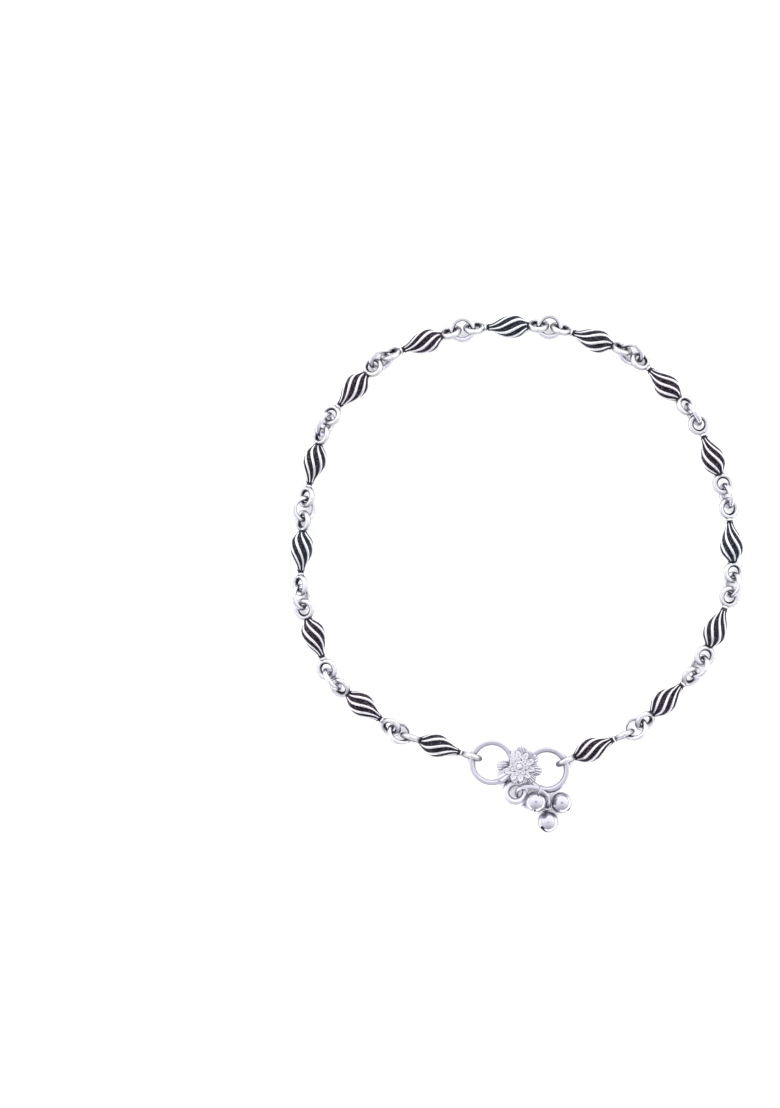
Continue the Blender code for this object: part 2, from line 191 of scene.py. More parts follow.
def silver(name, plain, dark_a, dark_b, gloss, film_and_shade_gloss=0.24, crest_highlight=None, edge=0.2,
           grain_size=0.16, pits=0.006, marks=0.003):
    """Sterling silver, bright where rubbed, dark with sulphide film in hollows and with painted shade where
    the value is lowered for it; sizes in millimetres.
    """
    material = bpy.data.materials.new(name)
    material.use_nodes = True
    tree = material.node_tree
    shader = tree.nodes["Principled BSDF"]
    place = add_node(tree, "ShaderNodeTexCoord").outputs["Object"]
    rubbed_and_shade = add_node(tree, "ShaderNodeAttribute", {"attribute_name": "rubbed_and_shade"}).outputs["Fac"]

    grain = add_node(tree, "ShaderNodeTexNoise", values={"Scale": 1 / (grain_size * MM), "Detail": 3.0},
                     links={"Vector": place}).outputs["Fac"]
    drift = add_node(tree, "ShaderNodeTexNoise", values={"Scale": 1 / DRIFT_SIZE, "Detail": 2.0},
                     links={"Vector": place}).outputs["Fac"]
    ragged = add_node(tree, "ShaderNodeMath", {"operation": "MULTIPLY_ADD"}, {1: RAGGEDNESS},
                      {0: grain, 2: rubbed_and_shade}).outputs[0]
    shown = add_node(tree, "ShaderNodeMapRange", {"interpolation_type": "SMOOTHSTEP"},
                     {"From Min": HALF_BRIGHT - edge, "From Max": HALF_BRIGHT + edge},
                     {"Value": ragged}).outputs[0]

    # The dark colour: sulphide film in hollows, and painted shade where the value is lowered on flanks and
    # in slits.
    film_and_shade = add_node(tree, "ShaderNodeMix", {"data_type": "RGBA"},
                    {FIRST_COLOUR: linear(dark_a), SECOND_COLOUR: linear(dark_b)},
                    {0: drift}).outputs[MIXED_COLOUR]
    worn = add_node(tree, "ShaderNodeMapRange", values={"From Min": 0.5, "From Max": 0.72, "To Max": 0.55},
                    links={"Value": grain}).outputs[0]
    film_and_shade = add_node(tree, "ShaderNodeMix", {"data_type": "RGBA"}, {SECOND_COLOUR: linear(WORN_FILM)},
                    {0: worn, FIRST_COLOUR: film_and_shade}).outputs[MIXED_COLOUR]
    # Painted highlight: where the value is highest, on the crests, the metal colour turns whiter.
    crest_highlight_share = add_node(tree, "ShaderNodeMapRange", values={"From Min": 0.6, "From Max": 0.85},
                       links={"Value": rubbed_and_shade}).outputs[0]
    metal = add_node(tree, "ShaderNodeMix", {"data_type": "RGBA"},
                     {FIRST_COLOUR: linear(plain), SECOND_COLOUR: linear(crest_highlight or plain)},
                     {0: crest_highlight_share}).outputs[MIXED_COLOUR]
    colour = add_node(tree, "ShaderNodeMix", {"data_type": "RGBA"},
                      links={0: shown, FIRST_COLOUR: film_and_shade, SECOND_COLOUR: metal}).outputs[MIXED_COLOUR]
    dull = add_node(tree, "ShaderNodeMapRange", values={"To Min": film_and_shade_gloss, "To Max": gloss},
                    links={"Value": shown}).outputs[0]
    uneven = add_node(tree, "ShaderNodeMath", {"operation": "MULTIPLY_ADD"}, {1: GLOSS_DRIFT},
                      {0: drift, 2: dull}).outputs[0]
    depth = add_node(tree, "ShaderNodeMapRange", values={"To Min": pits * MM, "To Max": marks * MM},
                     links={"Value": shown}).outputs[0]
    height = add_node(tree, "ShaderNodeMath", {"operation": "MULTIPLY"},
                      links={0: grain, 1: depth}).outputs[0]
    bump = add_node(tree, "ShaderNodeBump", values={"Strength": 1.0, "Distance": 1.0},
                    links={"Height": height}).outputs["Normal"]

    shader.inputs["Metallic"].default_value = 1.0
    tree.links.new(colour, shader.inputs["Base Color"])
    tree.links.new(uneven, shader.inputs["Roughness"])
    tree.links.new(bump, shader.inputs["Normal"])
    return material


# Roughness of the dark colour: on the beads their sulphide film, on the bells only painted shade.
DULL_FILM_AND_SHADE, DEEP_PITS = 0.42, 0.012
# Each tint: plain metal, two film colours, and the whiter painted highlight on the crests.
BEAD_COLOURS = {
    "violet": ("E2E0E6", "30222F", "211C27", "FEFDFF"),
    "blue": ("E1E2E7", "1E2A33", "20242E", "FDFEFF"),
    "grey": ("E2E1E6", "2A2730", "22262B", "FEFDFE"),
}
BEAD_SILVERS = {tint: silver(f"sulphur_{tint}_bead_silver", plain, dark_a, dark_b, 0.22, DULL_FILM_AND_SHADE,
                             crest_highlight=crest_highlight, grain_size=0.3, pits=DEEP_PITS)
                for tint, (plain, dark_a, dark_b, crest_highlight) in BEAD_COLOURS.items()}
# On the wire, rings and flower the film colours are tarnish in hollows and holes, and painted shade on the
# flanks. The bells are bright all over, so their film colours are only painted shade, on the flanks and in
# the slits.
WIRE_SILVER = silver("tumbled_silver_wire", "F1F0F7", "908E9A", "82808C", 0.2)
FLOWER_SILVER = silver("cast_flower_silver", "EEEDF4", "8A8894", "7C7A87", 0.26, edge=0.26)
RING_SILVER = silver("drawn_ring_silver", "DEDCE6", "82808C", "767480", 0.24)
BELL_SILVER = silver("turned_bell_silver", "DEDCE6", "908E9B", "9A98A6", 0.18, DULL_FILM_AND_SHADE, edge=0.3,
                     pits=DEEP_PITS)
print("silver finishes:", len(BEAD_SILVERS) + 4)

# %% [markdown]
# ## Meshes from rows
#
# A bead is turned and twisted, a ring is wire, and a flower is a round plate. Each is a set of
# rows of points, and one function skins the rows. Where a row is the same length as the next,
# the skin is all quads, which shade smoothly. show then takes the value down where a piece turns
# away from straight up, which paints shade on the flanks of every piece.

# %% Skin rows of points
def around(count):
    """The angles of a full turn in equal steps."""
    return np.linspace(0, 2 * math.pi, count, endpoint=False)


def skin(rows, closed=False, capped=True):
    """Points and faces through rows of points of one length; closed joins the last row to the first."""
    count = len(rows[0])
    points = [tuple(p) for row in rows for p in row]
    faces = []
    for i in range(len(rows) if closed else len(rows) - 1):
        low, high = i * count, (i + 1) % len(rows) * count
        for j in range(count):
            k = (j + 1) % count
            faces.append((low + j, low + k, high + k, high + j))
    if capped and not closed:
        faces.append(tuple(reversed(range(count))))
        faces.append(tuple(range(len(points) - count, len(points))))
    return points, faces


def mesh_from(name, parts):
    """One smooth mesh from parts, each of points, faces, values of rubbing and painted shade, and a matrix.
    """
    build = bmesh.new()
    layer = build.verts.layers.float.new("rubbed_and_shade")
    for points, faces, rubbed_and_shade, matrix in parts:
        corners = []
        for point, value in zip(points, rubbed_and_shade):
            corner = build.verts.new(matrix @ Vector(point))
            corner[layer] = value
            corners.append(corner)
        made = [build.faces.new([corners[i] for i in face]) for face in faces]
        bmesh.ops.recalc_face_normals(build, faces=made)
    mesh = bpy.data.meshes.new(name)
    build.to_mesh(mesh)
    build.free()
    mesh.shade_smooth()
    return mesh


TOP_FACING, FLANK_FADE = 0.9, 0.45


def show(name, mesh, material, lie, slot, *nodes, painted_flank_shade=0.0):
    """Puts a piece in the scene in place of the solids it stands for, with painted shade on its flanks."""
    mesh.transform(lie)
    # Painted shade: where a surface turns away from straight up, the value drops and the flank takes the
    # dark colour.
    for vertex, rubbed_and_shade in zip(mesh.vertices, mesh.attributes["rubbed_and_shade"].data):
        flank = min(1.0, max(0.0, (TOP_FACING - vertex.normal.z) / FLANK_FADE))
        rubbed_and_shade.value *= 1 - painted_flank_shade * flank
    piece = bpy.data.objects.new(name, mesh)
    bpy.context.scene.collection.objects.link(piece)
    mesh.materials.clear()
    mesh.materials.append(material)
    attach(piece, "root")
    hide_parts(*nodes)
    return piece


print("faces between three rows of eight points:", len(skin([[(0, 0, 0)] * 8] * 3, capped=False)[1]))

# %% [markdown]
# ## Rings of wire
#
# A ring is cut from drawn wire, bent round and soldered shut. The solder leaves a slight swelling
# at the seam, and the tumbling leaves the wire a little uneven. Its hole stays darker than its
# outside, because the rubbing doesn't reach into it.

# %% Shape a ring
SEAM_HALF_ANGLE = 0.16


def wire_ring(radius, wire, steps, sides, hole_tarnish=0.5, seam=0.0, dark_side=0.0, level=1.0):
    """A round ring of round wire about Z, with how far each corner is rubbed bright."""
    rows, rubbed_and_shade = [], []
    for i in range(steps):
        angle = 2 * math.pi * i / steps
        out = Vector((math.cos(angle), math.sin(angle), 0))
        thick = wire * (1 + seam * math.exp(-((angle - math.pi) / SEAM_HALF_ANGLE) ** 2))
        row = []
        for j in range(sides):
            turn = 2 * math.pi * j / sides
            row.append(out * (radius + thick * math.cos(turn)) + Vector((0, 0, thick * math.sin(turn))))
            inward = max(0.0, -math.cos(turn))
            beside_bead = dark_side * inward ** 1.2 * max(0.0, math.cos(angle)) ** 1.5
            rubbed_and_shade.append(level - hole_tarnish * inward ** 2 - beside_bead)
        rows.append(row)
    points, faces = skin(rows, closed=True)
    return points, faces, rubbed_and_shade


LEVEL = Matrix.Identity(4)
LINK_RADIUS, LINK_WIRE = 2.06 * MM, 0.52 * MM
link_mesh = mesh_from("link_ring", [(*wire_ring(LINK_RADIUS, LINK_WIRE, 56, 18, seam=0.07), LEVEL)])
links = sorted(n for n in frame["nodes"] if n.startswith("link_ring"))
for node in links:
    show(node.replace("link_ring", "wire_link"), link_mesh.copy(), WIRE_SILVER, ring_lie(node),
         "polished_silver", node, painted_flank_shade=0.8)
print("links:", len(links), "faces in each:", len(link_mesh.polygons))

# %% Shape the two clasp rings and the jump ring
CLASP_RADIUS, CLASP_WIRE = 3.96 * MM, 0.66 * MM
JUMP_RADIUS, JUMP_WIRE = 3.3 * MM, 0.38 * MM
for node, radius, wire in (("clasp_ring_left", CLASP_RADIUS, CLASP_WIRE),
                           ("clasp_ring_right", CLASP_RADIUS, CLASP_WIRE),
                           ("jump_ring", JUMP_RADIUS, JUMP_WIRE)):
    ring = mesh_from(node, [(*wire_ring(radius, wire, 96, 20, seam=0.05), LEVEL)])
    show("wire_" + node, ring, RING_SILVER, ring_lie(node), "polished_silver", node, painted_flank_shade=0.65)
print("clasp ring across, in mm:", 2 * (CLASP_RADIUS + CLASP_WIRE) / MM)

# %% [markdown]
# ## The twisted beads
#
# A bead is a cast drop with eight narrow ridges that wind a quarter turn from its slim end to its
# blunt end. A screw modifier would give an even pitch but not the drop, so each row is a ring of
# points whose radius follows the drop, and whose ridges turn with the row.

# %% The bead's outline
BEAD_LENGTH, BEAD_RADIUS = 7.6 * MM, 2.35 * MM
BEAD_TWIST = math.radians(95)
RIDGES = 8
RIDGE_HEIGHT = 0.36 * MM
RIDGE_SHARE = 0.46
DROP = [(0, 0.31), (0.11, 0.41), (0.31, 0.73), (0.51, 0.97), (0.63, 1), (0.81, 0.85), (0.91, 0.61),
        (1, 0.37)]
DROP_SHARES = [share for share, _ in DROP]
DROP_WIDTHS = [width for _, width in DROP]


def flowing(at, knots, values):
    """A smooth curve through knots, at one place."""
    i = min(max(np.searchsorted(knots, at) - 1, 0), len(knots) - 2)
    slopes = np.gradient(values, knots)
    step = knots[i + 1] - knots[i]
    t = (at - knots[i]) / step
    low = (2 * t ** 3 - 3 * t ** 2 + 1) * values[i] + (t ** 3 - 2 * t ** 2 + t) * step * slopes[i]
    high = (3 * t ** 2 - 2 * t ** 3) * values[i + 1] + (t ** 3 - t ** 2) * step * slopes[i + 1]
    return low + high


print("bead radius halfway, in mm:", round(flowing(0.5, DROP_SHARES, DROP_WIDTHS) * BEAD_RADIUS / MM, 2))

# %% [markdown]
# Across a ridge the metal rises steeply to a rounded, rubbed crest, and between two ridges lies a
# wide dark hollow. Past both ends the ridges die out: the slim end has a dark waist and a small
# flared collar, and the blunt end meets its eye in a thin dark line.

# %% Skin the bead
AROUND = 13 * RIDGES
ALONG = 64
# Each neck row: how far past the drop's end and how wide, in millimetres, and how far rubbed.
SLIM_NECK = [(-1.15, 0.45, 0.1), (-0.78, 0.62, 0.6), (-0.62, 0.72, 0.95), (-0.46, 0.7, 0.7),
             (-0.3, 0.55, 0.0), (-0.12, 0.58, 0.0)]
BLUNT_NECK = [(0.1, 0.74, 0.0), (0.22, 0.7, 0.05), (0.34, 0.66, 0.6), (0.6, 0.4, 0.5)]


def ridge_profile(phase):
    """Height across a ridge, 1 on its crest at phase 0 and 0 in the hollow at phase one half."""
    away = abs((phase + 0.5) % 1 - 0.5) / (RIDGE_SHARE / 2)
    if away < 1:
        return math.cos(away * math.pi / 2) ** 0.5
    return 0.0


def hollow_profile(phase):
    """How far the floor between two ridges is scooped out, as a share of the ridge's height."""
    away = abs((phase + 0.5) % 1 - 0.5)
    return 0.25 * max(0.0, math.sin((away - RIDGE_SHARE / 2) / (1 - RIDGE_SHARE) * math.pi)) ** 2


def neck(stations, start, turn):
    """Round rows past one end of the bead, and how far each corner is rubbed."""
    rows = [[(x * MM + start, radius * MM * math.cos(a - turn), radius * MM * math.sin(a - turn))
             for a in around(AROUND)] for x, radius, _ in stations]
    return rows, [bright for _, _, bright in stations for _ in range(AROUND)]


def bead_body():
    """The bead from its slim end to its blunt end, and how far each corner is rubbed."""
    rows, rubbed_and_shade = neck(SLIM_NECK, -BEAD_LENGTH / 2, 0.0)
    for i in range(ALONG + 1):
        share = i / ALONG
        width = BEAD_RADIUS * flowing(share, DROP_SHARES, DROP_WIDTHS)
        fade = min(1.0, share / 0.05 + 0.3, (1 - share) / 0.04 + 0.2)
        relief = RIDGE_HEIGHT * fade * min(1.0, 0.35 + 0.65 * width / BEAD_RADIUS)
        row = []
        for j in range(AROUND):
            phase = j * RIDGES / AROUND
            rise = ridge_profile(phase)
            radius = width - relief * (1 - rise) - relief * hollow_profile(phase)
            angle = 2 * math.pi * j / AROUND - BEAD_TWIST * share
            row.append((BEAD_LENGTH * (share - 0.5), radius * math.cos(angle), radius * math.sin(angle)))
            rubbed_and_shade.append(rise * min(1.0, share / 0.03, (1 - share) / 0.03 + 0.1))
        rows.append(row)
    blunt_rows, blunt_rubbed = neck(BLUNT_NECK, BEAD_LENGTH / 2, BEAD_TWIST)
    points, faces = skin(rows + blunt_rows)
    return points, faces, rubbed_and_shade + blunt_rubbed


print("rows along a bead:", len(SLIM_NECK) + ALONG + 1 + len(BLUNT_NECK))

# %% Join the eyes to the bead and lay out the fifteen
EYE_RADIUS, EYE_WIRE = 1.59 * MM, 0.55 * MM
SOLDER = 0.06 * MM
SLIM_EYE_AT = BEAD_LENGTH / 2 + COLLAR_LENGTH + EYE_RADIUS + EYE_WIRE - SOLDER
BLUNT_EYE_AT = BEAD_LENGTH / 2 + EYE_RADIUS + EYE_WIRE - SOLDER
eye = wire_ring(EYE_RADIUS, EYE_WIRE, 48, 18, hole_tarnish=0.3, dark_side=0.7, level=0.76)
slim_eye = Matrix.Translation((-SLIM_EYE_AT, 0, 0))
blunt_eye = Matrix.Translation((BLUNT_EYE_AT, 0, 0)) @ Matrix.Rotation(math.pi, 4, "Z")
bead_parts = [(*bead_body(), LEVEL), (*eye, slim_eye), (*eye, blunt_eye)]
TINTS = (["grey", "violet", "violet", "blue"] * 4)[:15]
bead_meshes = {tint: mesh_from("bead_" + tint, bead_parts) for tint in BEAD_SILVERS}
for number, tint in enumerate(TINTS, 1):
    node = f"bead_{number:02d}"
    show(f"twist_{node}", bead_meshes[tint].copy(), BEAD_SILVERS[tint], bead_lie(node),
         "oxidised_silver", node, painted_flank_shade=0.52)
print("beads:", len(TINTS), "faces in each:", len(bead_meshes["grey"].polygons))

# %% [markdown]
# ## The flower hook
#
# The flower is cast with its petals in relief and soldered to the bar that carries the two clasp
# rings. The flower's middle is found from the two ring middles. Its relief is a height over each
# point of a round grid, as a sculptor would model it: petals, veins, an inner rosette, a dome.

# %% Find the flower's middle
LEFT_WAY, RIGHT_WAY = math.radians(172), math.radians(-6.5)
RING_FROM_MIDDLE = 5.37 * MM
left_ring = ring_lie("clasp_ring_left").translation
right_ring = ring_lie("clasp_ring_right").translation
middle = left_ring - Vector((math.cos(LEFT_WAY), math.sin(LEFT_WAY), 0)) * RING_FROM_MIDDLE
middle += right_ring - Vector((math.cos(RIGHT_WAY), math.sin(RIGHT_WAY), 0)) * RING_FROM_MIDDLE
middle /= 2
hook_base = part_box("flower_hook")[0].z
FLOWER = Matrix.Translation((middle.x, middle.y, hook_base))
ring_level = left_ring.z - hook_base
print("flower middle, in mm:", round(middle.x / MM, 2), round(middle.y / MM, 2))

# %% The flower's outline
# Each petal: its direction in degrees, and how far it reaches in millimetres.
PETALS = [(108, 3.5), (82, 4.1), (54, 3.7), (28, 4.0), (-12, 4.5), (-45, 4.1), (-75, 3.6), (-105, 3.4),
          (209, 4.85)]
PETAL_HALF_WIDTH = 1.05 * MM
CORE_RADIUS = 1.3 * MM
PLATE_THICKNESS = 0.6 * MM
PLATE_CLEARANCE = 0.2 * MM
PLATE_LOW = ring_level + CLASP_WIRE + PLATE_CLEARANCE


def petal_offsets(angle):
    """How far a direction is from each petal's direction, with that petal's length, nearest first."""
    offsets = [((angle - math.radians(way) + math.pi) % (2 * math.pi) - math.pi, length * MM)
               for way, length in PETALS]
    return sorted(offsets, key=lambda pair: abs(pair[0]))


def petal_reach(angle):
    """How far the plate goes from its middle in a direction."""
    reach = CORE_RADIUS
    for off, length in petal_offsets(angle):
        if abs(off) > math.pi / 3:
            break
        tip = length - PETAL_HALF_WIDTH
        side = abs(tip * math.sin(off))
        if side < PETAL_HALF_WIDTH:
            reach = max(reach, tip * math.cos(off) + math.sqrt(PETAL_HALF_WIDTH ** 2 - side ** 2))
        else:
            reach = max(reach, PETAL_HALF_WIDTH / abs(math.sin(off)))
    return reach


print("flower reaches, in mm:", [round(petal_reach(math.radians(way)) / MM, 2) for way, _ in PETALS])

# %% The flower's relief
BOSS_RADIUS = 0.62 * MM
# Each ring: how many petals, how far turned, their distance, half length, half width, base and rise.
INNER_RINGS = [(10, 0.35, 2.15, 0.9, 0.64, 0.4, 0.14), (7, 0.1, 1.2, 0.62, 0.5, 0.56, 0.14)]


def spoon(radius, angle, count, turned, at, half_length, half_width, base, rise):
    """Height of one ring of small spoon-shaped petals, or 0 beside them; lengths are in millimetres."""
    turn = (angle * count / (2 * math.pi) + turned + 0.5) % 1 - 0.5
    across = turn * 2 * math.pi / count * radius / half_width
    along = (radius - at) / half_length
    inside = 1 - across ** 2 - along ** 2
    if inside <= 0:
        return 0.0
    ribs = 0.06 * math.cos(2 * math.pi * across * 1.6 + count) * inside
    return base + rise * min(1.0, 2.4 * inside) ** 0.5 - 0.12 * inside ** 2 + ribs


def flower_relief(radius, angle, reach):
    """Height of the cast relief over the plate, in millimetres."""
    (off, _), (next_off, _) = petal_offsets(angle)[:2]
    fan = off / (abs(off) + abs(next_off))
    out = min(1.0, max(0.0, (radius / MM - 1.9) / 0.9))
    rim = min(1.0, (reach - radius) / (0.3 * MM))
    lobe = 0.34 * (1 - (2 * abs(fan)) ** 3 * 0.9) + 0.07 * out * math.cos(2 * math.pi * fan * 4.5)
    height = lobe * (0.3 + 0.7 * rim ** 0.5)
    from_notch = ((reach - radius - 0.2 * MM) / (0.25 * MM)) ** 2
    from_notch += ((0.5 - abs(fan)) * radius / (0.55 * MM)) ** 2 * 4
    height -= 0.25 * math.exp(-from_notch)
    for ring in INNER_RINGS:
        height = max(height, spoon(radius / MM, angle, *ring))
    if radius < BOSS_RADIUS:
        swell = math.sqrt(1 - (radius / BOSS_RADIUS) ** 2)
        ripple = 0.05 * math.cos(5 * angle + radius / (0.16 * MM)) * min(1.0, radius / (0.25 * MM))
        height = max(height, 0.66 + 0.34 * swell + ripple * swell)
    return height


def standing_proud(heights, passes=5):
    """How far each point of a relief stands above the mean of the points round it."""
    mean = heights.copy()
    for _ in range(passes):
        inner, outer = np.vstack([mean[:1], mean[:-1]]), np.vstack([mean[1:], mean[-1:]])
        mean = (mean * 2 + inner + outer + np.roll(mean, 1, 1) + np.roll(mean, -1, 1)) / 6
    return heights - mean


print("relief at the flower's middle, in mm:", round(flower_relief(0.0, 0.0, petal_reach(0.0)), 2))

# %% Skin the flower
EVEN_RUB, CREST_RUB = 0.76, 14
TARNISH, FAR_TARNISH = 10, 16
FAR_WAY, FAR_REACH = 0.2, 3.4 * MM


def flower_plate(steps=420, rings=56):
    """The cast flower: flat below, with lobes, pits, inner petals and boss above."""
    edge = [(a, petal_reach(a)) for a in (2 * math.pi * i / steps for i in range(steps))]
    top = PLATE_LOW + PLATE_THICKNESS
    below = ((0.3, PLATE_LOW), (0.97, PLATE_LOW), (1.0, PLATE_LOW + 0.15 * MM), (1.0, top - 0.1 * MM))
    rows = [[(math.cos(a) * r * share, math.sin(a) * r * share, level) for a, r in edge]
            for share, level in below]
    rubbed_and_shade = [0.6] * steps * len(below)
    shares = [1 - (k + 0.5) / rings for k in range(rings)]
    heights = np.array([[flower_relief(r * share, a, r) for a, r in edge] for share in shares])
    proud = standing_proud(heights)
    for share, level, rise in zip(shares, heights, proud):
        rows.append([(math.cos(a) * r * share, math.sin(a) * r * share, top + h * MM)
                     for (a, r), h in zip(edge, level)])
        for (a, r), up in zip(edge, rise):
            far = min(1.0, max(0.0, math.cos(a - FAR_WAY) * r * share / FAR_REACH))
            gain = CREST_RUB if up > 0 else TARNISH + FAR_TARNISH * far
            rubbed_and_shade.append(min(1.0, max(0.0, EVEN_RUB + gain * up)))
    points, faces = skin(rows)
    return points, faces, rubbed_and_shade


plate = flower_plate()
print("flower corners:", len(plate[0]), "highest, in mm:", round(max(p[2] for p in plate[0]) / MM, 2))

# %% [markdown]
# The rest of the hook is thick wire: a bar from the left ring to the right one, where its open
# end stands up inside the ring, two posts, and below the flower a curl that holds the bells.

# %% Wire along a path
def flowing_path(points, steps):
    """A Catmull-Rom curve through points."""
    points = [Vector(p) for p in points]
    padded = [2 * points[0] - points[1], *points, 2 * points[-1] - points[-2]]
    path = []
    for a, b, c, d in zip(padded, padded[1:], padded[2:], padded[3:]):
        for i in range(steps):
            t = i / steps
            bend = 2 * b + (c - a) * t + (2 * a - 5 * b + 4 * c - d) * t ** 2
            path.append((bend + (3 * b - a - 3 * c + d) * t ** 3) / 2)
    return [*path, points[-1]]


def wire(path, radius, sides=18):
    """A round wire along a path, with both ends rounded off."""
    side = Vector((0, 0, 1))
    turns = [2 * math.pi * j / sides for j in range(sides)]
    rows = []
    for i, point in enumerate(path):
        along = (path[min(i + 1, len(path) - 1)] - path[max(i - 1, 0)]).normalized()
        if abs(along.dot(side)) > 0.95:
            side = Vector((0, 1, 0))
        across = side.cross(along).normalized()
        side = along.cross(across)
        rows.append([point + (across * math.cos(turn) + side * math.sin(turn)) * radius for turn in turns])
    for end, inner in ((0, 1), (-1, -2)):
        outward = (path[end] - path[inner]).normalized()
        last = rows[end]
        for share in (0.5, 0.85):
            shrink, push = math.sqrt(1 - share ** 2), outward * radius * share * 0.6
            row = [path[end] + (p - path[end]) * shrink + push for p in last]
            rows.insert(0 if end == 0 else len(rows), row)
    points, faces = skin(rows)
    return points, faces, [0.95] * len(points)


print("steps along a curve through three points:", len(flowing_path([(0, 0, 0), (1, 0, 0), (1, 1, 0)], 10)))

# %% Bend the bar, the leg, the stem and the curl
BAR_WIRE, LEG_WIRE, STEM_WIRE, POST_RADIUS = 0.58 * MM, 0.66 * MM, 0.54 * MM, 0.4 * MM
CURL_RADIUS, CURL_WIRE = 1.88 * MM, 0.75 * MM
CURL_AT = Vector((-0.72, -5.08, 2.4)) * MM
CURL_SLOPE = math.radians(-8)
HOOK_BEND = 0.9 * MM
POST_CLEARANCE = 0.35 * MM
hole_edge = CLASP_RADIUS - CLASP_WIRE - POST_RADIUS - POST_CLEARANCE
left_middle = left_ring - FLOWER.translation
right_middle = right_ring - FLOWER.translation
left_post = Vector((left_middle.x, left_middle.y, 0)) + Vector((0.61, -0.79, 0)).normalized() * hole_edge
hook_end = Vector((right_middle.x, right_middle.y, 0)) + Vector((-1, 0.06, 0)).normalized() * hole_edge
bar_level = Vector((0, 0, BAR_WIRE))
toward = hook_end.normalized()
bar = [left_post + bar_level, bar_level]
for quarter in np.linspace(0, math.pi / 2, 9):
    rise = Vector((0, 0, HOOK_BEND * (1 - math.cos(quarter))))
    bar.append(hook_end + toward * HOOK_BEND * (math.sin(quarter) - 1) + rise + bar_level)
bar.append(hook_end + Vector((0, 0, ring_level)))
curl_lie = Matrix.Translation(CURL_AT) @ Matrix.Rotation(CURL_SLOPE, 4, "X")
curl_side = CURL_AT + Vector((-CURL_RADIUS, 0, 0))
curl_back = curl_lie @ Vector((0, CURL_RADIUS, 0))
leg_level = Vector((0, 0, LEG_WIRE))
knee = curl_side.lerp(Vector((curl_side.x, left_post.y, 0)), 0.57)
knee.z = LEG_WIRE * 1.16
leg = [curl_side, Vector((curl_side.x, (curl_side.y + knee.y) / 2, (curl_side.z + bar_level.z) / 2)), knee,
       left_post + leg_level]
stem = [bar_level, curl_back * 0.5 + bar_level * 0.6, curl_back]
inside_plate = PLATE_LOW + PLATE_THICKNESS / 2


def post(at):
    """An upright post from the bar to inside the plate."""
    return wire([Vector((at.x, at.y, z)) for z in np.linspace(bar_level.z, inside_plate, 4)], POST_RADIUS)


print("bar from post to open end, in mm:", round((hook_end - left_post).length / MM, 2))

# %% The petal under the left ring
def low_petal(steps=64, rings=14):
    """The veined petal that passes under the left clasp ring."""
    half_length, centre = 1.4 * MM, Vector((-3.0 * MM, 0, 0))
    top = 2 * BAR_WIRE + 0.1 * MM
    rows, rubbed_and_shade = [], []
    for k in range(-3, rings):
        share = 1 - max(0, k) / rings
        row = []
        for i in range(steps):
            a = 2 * math.pi * i / steps
            x, y = half_length * share * math.cos(a), PETAL_HALF_WIDTH * 1.1 * share * math.sin(a)
            veins = math.cos(2 * math.pi * y / (0.5 * MM))
            level = top - 0.22 * MM * share ** 2 + 0.05 * MM * veins * share
            if k < 0:
                level = top - (0.3 - 0.13 * k) * MM
            row.append((centre.x + x, centre.y + y, level))
            rubbed_and_shade.append(0.68 + 0.26 * veins)
        rows.append(row)
    points, faces = skin(rows)
    return points, faces, rubbed_and_shade


hook_parts = [
    (*plate, FLOWER),
    (*wire(bar, BAR_WIRE), FLOWER),
    (*wire(flowing_path(leg, 10), LEG_WIRE), FLOWER),
    (*wire(flowing_path(stem, 10), STEM_WIRE), FLOWER),
    (*post(Vector()), FLOWER),
    (*post(left_post), FLOWER),
    (*low_petal(), FLOWER),
    (*wire_ring(CURL_RADIUS, CURL_WIRE, 80, 22, hole_tarnish=0.1), FLOWER @ curl_lie),
]
hook_mesh = mesh_from("flower_hook", hook_parts)
hook = show("cast_flower_hook", hook_mesh, FLOWER_SILVER, LEVEL, "cast_silver", "flower_hook", painted_flank_shade=0.45)
print("hook faces:", len(hook.data.polygons))

# %% [markdown]
# ## The bells
#
# A ghungroo is a ball made of two cups, with a slit between two round holes that lets the sound
# out. A wire eye hangs it from the jump ring.

# %% Read a bell's lie and shape it
BALL_RADIUS, BELL_EYE_RADIUS, BELL_EYE_WIRE = 2.05 * MM, 0.78 * MM, 0.23 * MM
BELL_EYE_AT = BALL_RADIUS + BELL_EYE_RADIUS - BELL_EYE_WIRE / 10


def bell_lie(name):
    """The lie of a bell: X from the ball to its eye, Z across the eye."""
    points = points_of(name)
    middle, directions = spread(points)
    along = directions[0]
    reach = (points - middle) @ along
    if reach.max() < -reach.min():
        along, reach = -along, -reach
    ends = points[reach > reach.max() - BELL_EYE_RADIUS]
    out = reach.max() - BELL_EYE_AT - BELL_EYE_RADIUS - BELL_EYE_WIRE * math.cos(math.pi / 5)
    return lie_of(middle + along * out, along, across_eye(ends, along))


def ball(steps=72, rings=48):
    """A pressed ball with a raised seam round it, where its two cups meet."""
    rows = []
    for i in range(1, rings):
        polar = math.pi * i / rings
        radius = BALL_RADIUS + 0.03 * MM * math.exp(-((polar - math.pi / 2) / 0.05) ** 2)
        rows.append([(radius * math.cos(polar), radius * math.sin(polar) * math.cos(a),
                      radius * math.sin(polar) * math.sin(a)) for a in around(steps)])
    points, faces = skin(rows)
    return points, faces, [1.0] * len(points)


print("first bell lies at, in mm:", [round(v / MM, 2) for v in bell_lie("bell_01").translation])

# %% [markdown]
# The slit is sawn through the pole that faces away from the eye, and a hole is drilled at both of
# its ends. A boolean cuts them as the saw and drill do. The cutters carry a value of 0, and the
# boolean hands it on to the new faces, so the slit's walls take the dark colour: painted shade
# inside the slit.

# %% Saw the slit and drill its holes
SLIT_WIDTH, SLIT_DEPTH, HOLE_RADIUS = 0.45 * MM, 1.1 * MM, 0.42 * MM
SAW_REACH = 3 * MM


